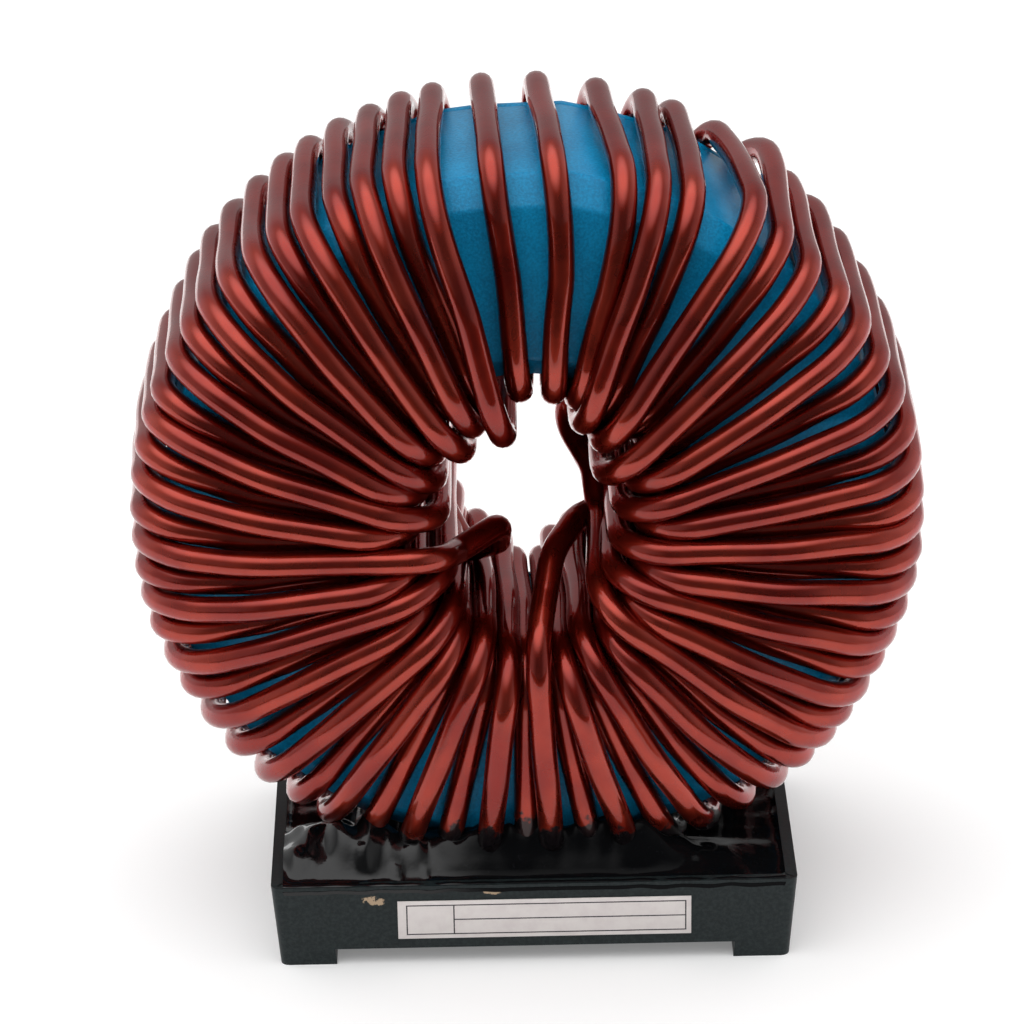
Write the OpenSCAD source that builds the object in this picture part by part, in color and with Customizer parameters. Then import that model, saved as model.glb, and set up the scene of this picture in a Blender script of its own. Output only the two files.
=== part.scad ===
// Vertical toroidal choke: a cased ring core wound with heavy enamelled wire,
// standing in a shallow plastic tray and held there by potting resin.
// Millimetres, +Z up, ring axis along Y, front towards -Y, feet on Z = 0.

/* [Core] */
// Outer diameter of the powder core
core_od = 57.2; // [52:0.1:66]
// Inner diameter of the powder core
core_id = 26.4; // [24:0.1:31]
// Length of the core along its axis
core_h = 15.2; // [12:0.1:18]
// Edge radius of the core
core_edge = 0.8; // [0.3:0.1:1.5]

/* [Core case] */
// Room between the core and its case
core_gap = 0.1; // [0.05:0.05:0.4]
// Wall of the case round the core's outside, at its thinnest
case_wall = 0.8; // [0.4:0.1:1.2]
// Wall of the case inside the core's bore
bore_wall = 0.6; // [0.4:0.1:1]
// End wall of the case
case_end = 2.9; // [1.8:0.1:3.4]
// Flats round the outside of the case
case_flats = 18; // [14:1:24]
// Turn of the flats about the ring axis, in degrees
case_turn = -1.5; // [-10:0.5:10]
// Chamfer on the case's outer and inner edges
case_chamfer = 2.1; // [1.6:0.1:2.2]

/* [Winding] */
// Wire diameter over its enamel
wire_d = 1.85; // [1.4:0.05:1.9]
// Room between the wire and the case
wire_gap = 0.09; // [0.06:0.01:0.2]
// Bend radius of the wire at the outer rim
bend_out = 3.7; // [3:0.1:3.8]
// Bend radius of the lowest layer at the bore
bend_in = 2.4; // [1.5:0.1:3]
// Bend radius of the upper layers at the bore
bend_bank = 5; // [4:0.1:5.6]
// Step between the layers that stack up in the bore, in wire diameters
layer_pitch = 0.95; // [0.92:0.01:1]
// Crest of every turn over the outer rim
rim_arch = 0.75; // [0.3:0.05:1]
// Further bow of the loosest turns at the top
turn_slack = 0.6; // [0:0.1:1.2]
// How far the loose loops stand in towards the ring's axis
loop_reach = 5.2; // [2:0.1:6]
// Room under the lead ends, above the feet
lead_short = 0.2; // [0.1:0.1:0.6]

/* [Tray] */
// Width of the tray at its rim
tray_w = 43; // [40:0.1:50]
// Depth of the tray at its rim
tray_d = 33.6; // [28:0.1:40]
// Height of the tray's body
tray_h = 5.95; // [4:0.05:8]
// Wall of the tray
tray_wall = 0.95; // [0.6:0.05:1.4]
// Floor of the tray
tray_floor = 1.8; // [0.8:0.1:2.6]
// How far each side leans in from rim to feet
tray_draft = 0.6; // [0.2:0.05:1]
// Corner radius of the tray
tray_corner = 0.7; // [0.3:0.1:1.5]
// Height of the feet
foot_h = 1.45; // [0.8:0.05:3]
// Width of each foot
foot_w = 4.5; // [3:0.1:8]
// Depth of each foot
foot_d = 5; // [3:0.1:8]
// Room round each lead in its hole
lead_gap = 0.15; // [0.1:0.05:0.4]
// Room between the winding and the tray's floor
seat_gap = 0.5; // [0.35:0.05:0.8]

/* [Potting] */
// Depth of the resin's level below the rim
fill_drop = 0.4; // [0.2:0.1:1.5]
// Height of the resin where it climbs the turns
climb_h = 4; // [1.5:0.1:4.4]
// Width of the climbing resin along the tray
climb_w = 26.5; // [16:0.5:30]
// Radius of the lump at the left
lump_r = 2.6; // [1.5:0.1:3]
// Room between the resin's bed and the turns
bed_gap = 0.1; // [0.05:0.05:0.3]

/* [Label] */
// Width of the sticker
label_w = 24; // [12:0.1:30]
// Height of the sticker
label_h = 3.6; // [2:0.1:4]
// Thickness of the sticker
label_t = 0.12; // [0.05:0.01:0.3]
// Middle of the sticker, right of the tray's middle
label_x = 0.8; // [-3:0.1:3]
// Middle of the sticker, below the rim
label_drop = 3.2; // [2.4:0.1:3.6]

/* [Hidden] */

tray_colour = [0.05, 0.07, 0.07];
resin_colour = [0.02, 0.02, 0.03];
case_colour = [0.02, 0.30, 0.48];
core_colour = [0.25, 0.25, 0.26];
wire_colour = [0.50, 0.15, 0.10];
label_colour = [0.86, 0.82, 0.83];

// Sectors of the winding, clockwise from the bottom as seen from the front:
// first and last angle at the outer rim, first and last angle at the bore, turns, and
// how far the odd turns stand off the face to pass over the even ones, in wire diameters.
// The top sector is open enough for its turns to lie in one layer.
SECTORS = [
    [182, 207, 187, 209, 5, 1.35],
    [214, 243.5, 214, 238.5, 6, 1.6],
    [248.5, 302.5, 243.5, 296.5, 12, 1.7],
    [307.5, 346, 301.3, 348, 9, 1.7],
    [356, 365, 355, 366, 2, 0],
    [375, 386, 380.5, 391.5, 3, 1.4],
    [394.5, 437.5, 397.5, 440, 8, 1.7],
    [442.5, 494.5, 445, 498, 12, 1.7],
    [501, 535.5, 503, 532, 7, 1.35]
];
// Layers that the odd turns take by turns in the bore, inside the even ones' layer.
upper_layers = 2;
// The angles at which the two ends of the wire leave the ring.
first_angle = SECTORS[0][0];
last_angle = 539;
// Turns whose loops hang loose in the bore.
LOOSE_TURNS = [15, 63];
// Where an odd turn has come up off the face: its way from rim to bore, and its share of the rise.
bulge_way = 0.58;
bulge_share = 0.82;
// How far the turns lean in towards the top's middle behind, in degrees, and over what angle.
back_lean = 3.5;
lean_span = 15;

wire_sides = 6;
// The middle ring of a bend stands out a little, so that the chords keep to its arc.
bend_mid = 1.1;
round_fn = 48;
soft_fn = 32;
bed_fn = 96;
eps = 0.01;
label_gap = 0.01;
// How far a cut runs past what it cuts.
cut_over = 1;
// Step of the scatter from turn to turn, in turns of the golden section.
scatter_step = 0.618;
// Share of the climbing resin's width that stands at its full height.
crest_share = 0.6;
// How far the ends of the climbing resin sit below the fill.
crest_sink = 0.5;
// Least corner radius inside the tray.
least_corner = 0.2;

// Case and core radii.
case_r = core_od / 2 + core_gap + case_wall;
case_corner_r = case_r / cos(180 / case_flats);
bore_wall_r = core_id / 2 - core_gap - bore_wall;
case_half = core_h / 2 + core_gap + case_end;
lid_t = case_end + core_gap;

// Centre line of the lowest layer of wire.
wire_r = wire_d / 2;
wire_lay = wire_r + wire_gap;
out_r = case_corner_r + wire_lay;
crest_r = out_r + rim_arch;
face_y = case_half + wire_lay;
bore_r = bore_wall_r - wire_lay;
layer_step = layer_pitch * wire_d;
leg_r = out_r - bend_out;
bulge_r = mix(leg_r, bore_r + bend_bank, bulge_way);

// Heights above the feet.
rim_z = foot_h + tray_h;
floor_z = foot_h + tray_floor;
fill_z = rim_z - fill_drop;
axis_z = floor_z + seat_gap + crest_r + wire_r;
draft_angle = atan(tray_draft / rim_z);

// Envelope of the turns where the resin meets them.
bed_r = crest_r + wire_r + bed_gap;
climb_r = axis_z - fill_z - climb_h;
top_rise = wire_d * max([for (s = SECTORS) s[5]]);
bed_rise = bulge_share * top_rise * max(0, leg_r - climb_r) / (leg_r - bulge_r);
bed_y = face_y + bed_rise + wire_r + bed_gap;
bed_edge = (bend_out + wire_r) * (2 - sqrt(2));

turn_total = sum([for (s = SECTORS) s[4]]);

function sum(list, i = 0) = i < len(list) ? list[i] + sum(list, i + 1) : 0;
function unit(v) = v / norm(v);
function mix(a, b, t) = a + (b - a) * t;
// A fixed scatter between 0 and 1 for turn k.
function scatter(k) = (k * scatter_step) % 1;

// The sector that holds turn k, and the turn's place along it from 0 to 1.
function sector_of(k, s = 0) = k < SECTORS[s][4] ? s : sector_of(k - SECTORS[s][4], s + 1);
function place_in(k, s = 0) =
    k < SECTORS[s][4] ? k / (SECTORS[s][4] - 1) : place_in(k - SECTORS[s][4], s + 1);
function rim_angle(k) =
    k >= turn_total ? last_angle
    : let (s = SECTORS[sector_of(k)]) mix(s[0], s[1], place_in(k));
function bore_angle(k) =
    k >= turn_total ? last_angle
    : let (s = SECTORS[sector_of(k)]) mix(s[2], s[3], place_in(k));
// Height off the face at which turn k comes to the bore, and its layer there.
function rise_of(k) = k % 2 * SECTORS[sector_of(k)][5] * wire_d;
function layer_of(k) = rise_of(k) > 0 ? 1 + floor(k / 2) % upper_layers : 0;
function hook_bend(k) = rise_of(k) > 0 ? bend_bank : bend_in;
function hook_y(k) = face_y + rise_of(k) - hook_bend(k);
function is_loose(k) = len([for (t = LOOSE_TURNS) if (t == k) t]) > 0;
// Bow over the outer rim: none where the turns lie in the tray, most at the top.
function slack_of(k) = turn_slack * scatter(k) * max(0, cos(rim_angle(k)));
// Angle behind the rim: half way to the next turn, and leaning in at the top.
function lean_of(a) =
    let (off = (a + 180) % 360 - 180)
    back_lean * max(0, cos(off)) * max(-1, min(1, off / lean_span));
function back_angle(k) =
    let (mid = (rim_angle(k) + rim_angle(k + 1)) / 2)
    mid - lean_of(mid);

// A point at radius r and depth y, at angle a clockwise from the top.
function at(r, y, a) = [r * sin(a), y, axis_z + r * cos(a)];

// Half a turn on one face, from the outer rim to the bore; side is -1 in front, 1 behind.
function rim_bend(k, side, angle) =
    let (
        r = leg_r + slack_of(k),
        y = face_y - bend_out,
        mid = bend_mid * bend_out * sin(45)
    )
    [
        at(r + bend_out, side * y, angle),
        at(r + mid, side * (y + mid), angle),
        at(leg_r, side * face_y, angle)
    ];
function bulge(k, side, rim, bore) =
    rise_of(k) > 0
    ? [at(bulge_r, side * (face_y + bulge_share * rise_of(k)), mix(rim, bore, bulge_way))]
    : [];
function bore_bend(k, side, angle) =
    let (
        bend = hook_bend(k),
        r = bore_r - layer_step * layer_of(k),
        y = hook_y(k),
        mid = bend_mid * bend * sin(45)
    )
    [
        at(r + bend, side * (y + bend), angle),
        at(r + bend - mid, side * (y + mid), angle),
        at(r, side * y, angle)
    ];
function bore_leg(k, angle) =
    is_loose(k)
    ? [for (u = [-0.5, 0, 0.5])
        at(bore_r - layer_step * layer_of(k) - loop_reach * pow(cos(90 * u), 2), u * hook_y(k), angle)]
    : [];
// The middle of the wire's way over the outer rim, on to turn k.
function crest(k) = [at(crest_r + slack_of(k), 0, (back_angle(k - 1) + rim_angle(k)) / 2)];

function reversed(list) = [for (i = [len(list) - 1:-1:0]) list[i]];

// One turn: down the front face, through the bore and up the back face.
function turn_path(k) =
    let (
        rim = rim_angle(k),
        bore = bore_angle(k),
        rim_back = back_angle(k),
        bore_back = (bore + bore_angle(k + 1)) / 2,
        front = concat(rim_bend(k, -1, rim), bulge(k, -1, rim, bore), bore_bend(k, -1, bore)),
        back = concat(rim_bend(k, 1, rim_back), bulge(k, 1, rim_back, bore_back), bore_bend(k, 1, bore_back))
    )
    concat(front, bore_leg(k, (bore + bore_back) / 2), reversed(back));

// The leads are the straight ends of the wire, through the tray's floor.
function lead(side, angle) = [
    at(axis_z - lead_short, side * face_y, angle),
    at(leg_r, side * face_y, angle)
];
function first_turn() =
    let (p = turn_path(0)) concat(lead(-1, first_angle), [for (i = [3:len(p) - 1]) p[i]]);
function last_turn() =
    let (p = turn_path(turn_total - 1)) concat([for (i = [0:len(p) - 4]) p[i]], reversed(lead(1, last_angle)));
function wire_path() = concat(
    first_turn(),
    [for (k = [1:turn_total - 2]) each concat(crest(k), turn_path(k))],
    crest(turn_total - 1),
    last_turn()
);

// Rings of points round a path, each square to it, with the first point along the ring's rim.
function heading(path, j) =
    let (last = len(path) - 1)
    j == 0 ? unit(path[1] - path[0])
    : j == last ? unit(path[last] - path[last - 1])
    : unit(unit(path[j] - path[j - 1]) + unit(path[j + 1] - path[j]));
function along_rim(p) = unit([p[2] - axis_z, 0, -p[0]]);
function ring(path, j, r, sides) =
    let (
        t = heading(path, j),
        e = along_rim(path[j]),
        b = unit(e - (e * t) * t),
        n = cross(t, b)
    )
    [for (i = [0:sides - 1]) path[j] + r * (cos(360 * i / sides) * b + sin(360 * i / sides) * n)];

module swept_wire(path, r, sides) {
    last = len(path) - 1;
    points = [for (j = [0:last]) each ring(path, j, r, sides)];
    walls = [
        for (j = [0:last - 1], i = [0:sides - 1])
            let (a = j * sides + i, b = j * sides + (i + 1) % sides)
            each [[a, a + sides, b], [b, a + sides, b + sides]]
    ];
    start_cap = [for (i = [0:sides - 1]) i];
    end_cap = [for (i = [sides - 1:-1:0]) last * sides + i];
    polyhedron(points = points, faces = concat(walls, [start_cap, end_cap]));
}

// Turns a shape drawn along Z about the origin so that it lies along the ring's axis,
// with its foot end in front.
module on_axis() translate([0, 0, axis_z]) rotate([-90, 0, 0]) children();

module flats_outline(r)
    polygon([
        for (i = [0:case_flats - 1])
            let (a = (i + 0.5) * 360 / case_flats + case_turn - 90)
            r / cos(180 / case_flats) * [cos(a), sin(a)]
    ]);

// A solid disc with flats round it and one chamfered end, from z0 to z1.
module flats_disc(z0, z1, chamfer_z)
    hull() {
        plain0 = chamfer_z == z0 ? z0 + case_chamfer : z0;
        plain1 = chamfer_z == z1 ? z1 - case_chamfer : z1;
        translate([0, 0, plain0]) linear_extrude(plain1 - plain0) flats_outline(case_r);
        translate([0, 0, z0]) linear_extrude(z1 - z0) flats_outline(case_r - case_chamfer);
    }

// The bore through the case, with its chamfered mouth at one end.
module case_bore(chamfer_z) {
    out = sign(chamfer_z);
    cylinder(r = bore_wall_r, h = 2 * (case_half + cut_over), center = true, $fn = round_fn);
    translate([0, 0, chamfer_z])
        mirror([0, 0, out > 0 ? 1 : 0])
            translate([0, 0, -eps])
                cylinder(r1 = bore_wall_r + case_chamfer, r2 = bore_wall_r, h = case_chamfer, $fn = round_fn);
}

module core_case_cup()
    color(case_colour)
        on_axis()
            difference() {
                flats_disc(-case_half, case_half - lid_t, -case_half);
                case_bore(-case_half);
                translate([0, 0, -core_h / 2 - core_gap])
                    rotate_extrude($fn = round_fn)
                        translate([core_id / 2 - core_gap, 0])
                            square([(core_od - core_id) / 2 + 2 * core_gap, core_h + 2 * core_gap + cut_over]);
            }

module core_case_lid()
    color(case_colour)
        on_axis()
            difference() {
                flats_disc(case_half - lid_t, case_half, case_half);
                case_bore(case_half);
            }

module core_ring()
    color(core_colour)
        on_axis()
            rotate_extrude($fn = round_fn)
                translate([(core_od + core_id) / 4, 0])
                    offset(r = core_edge)
                        square([(core_od - core_id) / 2 - 2 * core_edge, core_h - 2 * core_edge], center = true);

module winding()
    color(wire_colour) swept_wire(wire_path(), wire_r, wire_sides);

module round_slab(w, d, corner, z)
    translate([0, 0, z])
        linear_extrude(eps)
            offset(r = corner, $fn = soft_fn) square([w - 2 * corner, d - 2 * corner], center = true);

// A block with the tray's leaning sides, set in from them by inset, from z0 to z1.
module tray_block(inset, z0, z1) {
    lean0 = tray_draft * (1 - z0 / rim_z) + inset;
    lean1 = tray_draft * (1 - z1 / rim_z) + inset;
    corner = max(tray_corner - inset, least_corner);
    hull() {
        round_slab(tray_w - 2 * lean0, tray_d - 2 * lean0, corner, z0);
        round_slab(tray_w - 2 * lean1, tray_d - 2 * lean1, corner, z1 - eps);
    }
}

// The room inside the tray, carried on upwards past the climbing resin.
module tray_cavity() tray_block(tray_wall, floor_z, rim_z + 2 * climb_h);

module lead_holes()
    for (end = [[-1, first_angle], [1, last_angle]])
        translate([(axis_z - floor_z) * sin(end[1]), end[0] * face_y, -cut_over])
            cylinder(r = wire_r + lead_gap, h = floor_z + bend_out + cut_over, $fn = soft_fn);

module base_tray()
    color(tray_colour)
        difference() {
            tray_block(0, 0, rim_z);
            tray_cavity();
            foot_cut(tray_w - 2 * (tray_draft + foot_w), tray_d + 2 * cut_over);
            foot_cut(tray_w + 2 * cut_over, tray_d - 2 * (tray_draft + foot_d));
            lead_holes();
        }

// The space under the tray between the feet, w wide and d deep.
module foot_cut(w, d)
    translate([0, 0, foot_h - (foot_h + cut_over) / 2])
        cube([w, d, foot_h + cut_over], center = true);

// Resin that climbs the turns along one long side, with a lump at its left end.
module climb(side)
    hull() {
        for (x = [-0.5, 0.5])
            translate([x * climb_w * crest_share, side * bed_y, fill_z])
                sphere(r = climb_h, $fn = soft_fn);
        translate([climb_w / 2, side * bed_y, fill_z - crest_sink]) sphere(r = climb_h / 2, $fn = soft_fn);
        translate([-climb_w / 2, side * bed_y, fill_z - crest_sink]) sphere(r = lump_r, $fn = soft_fn);
    }

module turns_bed()
    on_axis()
        rotate_extrude($fn = bed_fn)
            polygon([
                [0, -bed_y],
                [bed_r - bed_edge, -bed_y],
                [bed_r, bed_edge - bed_y],
                [bed_r, bed_y - bed_edge],
                [bed_r - bed_edge, bed_y],
                [0, bed_y]
            ]);

module potting()
    color(resin_colour)
        difference() {
            intersection() {
                tray_cavity();
                union() {
                    translate([0, 0, fill_z - tray_h]) cube([2 * tray_w, 2 * tray_d, 2 * tray_h], center = true);
                    for (side = [-1, 1]) climb(side);
                }
            }
            turns_bed();
            lead_holes();
        }

module label()
    color(label_colour)
        translate([label_x, -tray_d / 2, rim_z])
            rotate([draft_angle, 0, 0])
                translate([-label_w / 2, -label_t - label_gap, -label_drop - label_h / 2])
                    cube([label_w, label_t, label_h]);

base_tray();
potting();
core_case_cup();
core_case_lid();
core_ring();
winding();
label();
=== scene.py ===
"""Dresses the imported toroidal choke: enamelled winding, blue core case, potted tray and label.

Shapes are drawn in millimetres in the part's own frame, +Z up with the label side towards -Y,
and become metres when a piece is finished.
"""

import logging
import math
import random
from dataclasses import dataclass, field
from enum import Enum

import bmesh
import bpy
from mathutils import Matrix, Vector, noise

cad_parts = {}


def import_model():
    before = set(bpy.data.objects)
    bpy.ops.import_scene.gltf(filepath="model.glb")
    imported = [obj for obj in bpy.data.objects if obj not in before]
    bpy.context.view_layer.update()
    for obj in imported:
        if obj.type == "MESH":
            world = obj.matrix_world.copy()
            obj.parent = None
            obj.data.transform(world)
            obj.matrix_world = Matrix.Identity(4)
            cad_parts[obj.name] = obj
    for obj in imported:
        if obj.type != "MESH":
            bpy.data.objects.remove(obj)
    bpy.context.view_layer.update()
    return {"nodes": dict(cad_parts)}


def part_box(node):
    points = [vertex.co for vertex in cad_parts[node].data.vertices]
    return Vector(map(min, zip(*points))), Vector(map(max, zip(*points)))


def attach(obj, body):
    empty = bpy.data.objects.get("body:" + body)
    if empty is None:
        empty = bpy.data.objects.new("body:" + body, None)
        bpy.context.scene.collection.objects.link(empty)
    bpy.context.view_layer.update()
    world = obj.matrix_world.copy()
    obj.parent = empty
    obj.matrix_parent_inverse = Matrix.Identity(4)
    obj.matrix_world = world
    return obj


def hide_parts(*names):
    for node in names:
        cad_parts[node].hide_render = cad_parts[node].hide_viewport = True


LOG = logging.getLogger("choke")
MM = 0.001
BODY = "root"
FILL_DROP = 0.4
LAP_OVER = 0.03

Colour = tuple[float, float, float]


class Side(Enum):
    """The two faces of the ring."""

    FRONT = -1
    BACK = 1


def smooth_step(low: float, high: float, value: float) -> float:
    """Rises smoothly from 0 at low to 1 at high."""
    t = min(max((value - low) / (high - low), 0.0), 1.0)
    return t * t * (3 - 2 * t)


def blend(a: float, b: float, t: float) -> float:
    """The number that lies the share t of the way from a to b."""
    return a + (b - a) * t


def node_box_mm(node: str) -> tuple[Vector, Vector]:
    """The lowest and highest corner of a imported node, in millimetres."""
    low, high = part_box(node)
    return low / MM, high / MM


def soften(shape: bmesh.types.BMesh, edges: list[bmesh.types.BMEdge], width: float, steps: int) -> None:
    """Rounds edges over a width, in a number of steps."""
    bmesh.ops.bevel(
        shape, geom=edges, offset=width, offset_type="OFFSET", affect="EDGES", segments=steps,
        profile=0.5, material=-1, clamp_overlap=True,
    )


def finish_piece(
    name: str,
    shape: bmesh.types.BMesh,
    material: bpy.types.Material,
    nodes: tuple[str, ...] = (),
    sharp_deg: float = 35.0,
) -> bpy.types.Object:
    """Turns a shape drawn in millimetres into a piece of the choke.

    Args:
        name: Name of the piece.
        shape: The finished shape, which is freed here.
        material: Its finish.
        nodes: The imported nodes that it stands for.
        sharp_deg: Edges that bend more than this stay sharp.

    Returns:
        The new object.
    """
    bmesh.ops.recalc_face_normals(shape, faces=shape.faces)
    bmesh.ops.scale(shape, vec=(MM, MM, MM), verts=shape.verts)
    mesh = bpy.data.meshes.new(name)
    shape.to_mesh(mesh)
    shape.free()
    return place_mesh(name, mesh, material, nodes, sharp_deg)


def place_mesh(
    name: str,
    mesh: bpy.types.Mesh,
    material: bpy.types.Material,
    nodes: tuple[str, ...],
    sharp_deg: float,
) -> bpy.types.Object:
    """Shades a mesh in metres, gives it its finish and lets it ride on the part.

    Args:
        name: Name of the piece.
        mesh: The mesh, in the part's frame.
        material: Its finish.
        nodes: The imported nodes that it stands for.
        sharp_deg: Edges that bend more than this stay sharp.

    Returns:
        The new object.
    """
    mesh.polygons.foreach_set("use_smooth", [True] * len(mesh.polygons))
    mesh.set_sharp_from_angle(angle=math.radians(sharp_deg))
    mesh.materials.clear()
    mesh.materials.append(material)
    piece = bpy.data.objects.new(name, mesh)
    bpy.context.scene.collection.objects.link(piece)
    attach(piece, BODY)
    if nodes:
        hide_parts(*nodes)
    LOG.info("%s: %d faces", name, len(mesh.polygons))
    return piece


class Shader:
    """A material's node tree, with short calls that add nodes and return their sockets."""

    def __init__(self, name: str) -> None:
        """Starts a material with one surface shader."""
        self.material = bpy.data.materials.new(name)
        self.material.use_nodes = True
        self.tree = self.material.node_tree
        self.surface = self.tree.nodes["Principled BSDF"]
        self.coords = self.tree.nodes.new("ShaderNodeTexCoord").outputs["Object"]

    def link(self, source: bpy.types.NodeSocket, target: bpy.types.NodeSocket) -> None:
        """Joins two sockets."""
        self.tree.links.new(source, target)

    def feed(self, value: object, target: bpy.types.NodeSocket) -> None:
        """Gives an input a socket to read or a value of its own."""
        if isinstance(value, bpy.types.NodeSocket):
            self.link(value, target)
        else:
            target.default_value = value

    def set(self, **values: object) -> None:
        """Sets the surface's inputs, named with underscores for spaces."""
        for name, value in values.items():
            if isinstance(value, tuple) and len(value) == 3:
                value = (*value, 1.0)
            self.feed(value, self.surface.inputs[name.replace("_", " ")])

    def noise(self, grain_mm: float, detail: float = 2.0, rough: float = 0.5) -> bpy.types.NodeSocket:
        """Cloudy noise whose blobs are about grain_mm across."""
        node = self.tree.nodes.new("ShaderNodeTexNoise")
        self.link(self.coords, node.inputs["Vector"])
        node.inputs["Scale"].default_value = 1 / (grain_mm * MM)
        node.inputs["Detail"].default_value = detail
        node.inputs["Roughness"].default_value = rough
        return node.outputs["Fac"]

    def axis(self, name: str) -> bpy.types.NodeSocket:
        """One of the object's coordinates, X, Y or Z, in metres."""
        node = self.tree.nodes.new("ShaderNodeSeparateXYZ")
        self.link(self.coords, node.inputs["Vector"])
        return node.outputs[name]

    def math(self, operation: str, a: object, b: object = 0.0) -> bpy.types.NodeSocket:
        """One sum of two numbers or sockets."""
        node = self.tree.nodes.new("ShaderNodeMath")
        node.operation = operation
        self.feed(a, node.inputs[0])
        self.feed(b, node.inputs[1])
        return node.outputs[0]

    def ramp(
        self, value: object, low: float, high: float, to_low: float = 0.0, to_high: float = 1.0
    ) -> bpy.types.NodeSocket:
        """Carries a number smoothly from one range to another, clamped at both ends."""
        node = self.tree.nodes.new("ShaderNodeMapRange")
        node.interpolation_type = "SMOOTHSTEP"
        self.feed(value, node.inputs["Value"])
        node.inputs["From Min"].default_value = low
        node.inputs["From Max"].default_value = high
        node.inputs["To Min"].default_value = to_low
        node.inputs["To Max"].default_value = to_high
        return node.outputs["Result"]

    def mix(self, share: bpy.types.NodeSocket, a: object, b: object) -> bpy.types.NodeSocket:
        """A colour that goes from a to b as share goes from 0 to 1."""
        node = self.tree.nodes.new("ShaderNodeMix")
        node.data_type = "RGBA"
        self.link(share, node.inputs["Factor"])
        for name, value in (("A", a), ("B", b)):
            chosen = next(s for s in node.inputs if s.name == name and s.type == "RGBA")
            self.feed((*value, 1.0) if isinstance(value, tuple) else value, chosen)
        return next(s for s in node.outputs if s.type == "RGBA")

    def bump(self, height: bpy.types.NodeSocket, depth_mm: float, strength: float = 1.0) -> None:
        """Raises the surface by height, depth_mm at most."""
        node = self.tree.nodes.new("ShaderNodeBump")
        node.inputs["Strength"].default_value = strength
        node.inputs["Distance"].default_value = depth_mm * MM
        self.link(height, node.inputs["Height"])
        self.link(node.outputs["Normal"], self.surface.inputs["Normal"])

    def spot(self, centre: Vector, reach: Vector) -> bpy.types.NodeSocket:
        """How near a place is to centre, in shares of reach: 0 there and 1 at the reach."""
        shift = self.tree.nodes.new("ShaderNodeVectorMath")
        shift.operation = "SUBTRACT"
        self.link(self.coords, shift.inputs[0])
        shift.inputs[1].default_value = centre * MM
        shrink = self.tree.nodes.new("ShaderNodeVectorMath")
        shrink.operation = "DIVIDE"
        self.link(shift.outputs[0], shrink.inputs[0])
        shrink.inputs[1].default_value = reach * MM
        length = self.tree.nodes.new("ShaderNodeVectorMath")
        length.operation = "LENGTH"
        self.link(shrink.outputs[0], length.inputs[0])
        return length.outputs["Value"]


@dataclass(frozen=True)
class EnamelFinish:
    """Copper under glossy red-brown enamel, with resin wiped up its foot and tinned ends.

    The smears reach smear_ragged millimetres up and down, lie lower by smear_slope for each
    millimetre aside, and fade over smear_edge.
    """

    deep: Colour = (0.235, 0.012, 0.006)
    clear: Colour = (0.355, 0.032, 0.015)
    edge: Colour = (0.62, 0.25, 0.22)
    resin: Colour = (0.006, 0.005, 0.006)
    tin: Colour = (0.62, 0.60, 0.57)
    metallic: float = 0.9
    roughness: float = 0.28
    coat_ior: float = 1.4
    coat_roughness: float = 0.07
    cloud_mm: float = 7.0
    smear_mm: float = 2.2
    smear_ragged: float = 6.0
    smear_slope: float = 0.1
    smear_edge: tuple[float, float] = (2.8, 3.2)
    tin_fade: float = 0.3
    gloss_mm: float = 2.5
    bump_mm: float = 1.2
    bump_depth: float = 0.012

    def material(self, tin_z: float, smear_z: float) -> bpy.types.Material:
        """Builds the finish.

        Args:
            tin_z: Height in millimetres below which the wire is tinned.
            smear_z: Height in millimetres about which the resin's smears end.

        Returns:
            The new material.
        """
        shader = Shader("enamelled_wire")
        cloud = shader.ramp(shader.noise(self.cloud_mm, 3.0), 0.35, 0.65)
        enamel = shader.mix(cloud, self.deep, self.clear)
        height = shader.math("MULTIPLY", shader.axis("Z"), 1 / MM)
        ragged = shader.math("MULTIPLY", shader.noise(self.smear_mm, 3.0, 0.6), self.smear_ragged)
        slope = self.smear_slope / MM
        aside = shader.math("ABSOLUTE", shader.math("MULTIPLY", shader.axis("X"), slope))
        smear_level = shader.math("ADD", shader.math("ADD", height, aside), ragged)
        fade_from, fade_to = self.smear_edge
        clean = shader.ramp(smear_level, smear_z + fade_from, smear_z + fade_to)
        wire = shader.mix(clean, self.resin, enamel)
        tinned = shader.ramp(height, tin_z, tin_z - self.tin_fade)
        shader.set(
            Base_Color=shader.mix(tinned, wire, self.tin),
            Metallic=shader.math("MULTIPLY", clean, self.metallic),
            Specular_Tint=self.edge,
            Roughness=shader.ramp(
                shader.noise(self.gloss_mm), 0.3, 0.7, self.roughness - 0.04, self.roughness + 0.06
            ),
            Coat_Weight=1.0,
            Coat_IOR=self.coat_ior,
            Coat_Roughness=self.coat_roughness,
        )
        shader.bump(shader.noise(self.bump_mm, 2.0), self.bump_depth)
        return shader.material


@dataclass(frozen=True)
class CasePlastic:
    """Matte blue plastic with a fine sandy grain."""

    shade: Colour = (0.002, 0.205, 0.43)
    light: Colour = (0.004, 0.32, 0.62)
    roughness: float = 0.28
    specular: float = 0.2
    grain_mm: float = 0.22
    cloud_mm: float = 5.0
    cloud_share: float = 0.5
    bump_depth: float = 0.06

    def material(self) -> bpy.types.Material:
        """Builds the finish."""
        shader = Shader("case_plastic")
        grain = shader.noise(self.grain_mm, 2.0, 0.6)
        cloud = shader.math("MULTIPLY", shader.noise(self.cloud_mm, 2.0), self.cloud_share)
        tone = shader.ramp(shader.math("ADD", grain, cloud), 0.5, 1.0)
        shader.set(
            Base_Color=shader.mix(tone, self.shade, self.light),
            Roughness=self.roughness,
            Specular_IOR_Level=self.specular,
        )
        shader.bump(grain, self.bump_depth, 0.6)
        return shader.material


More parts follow.
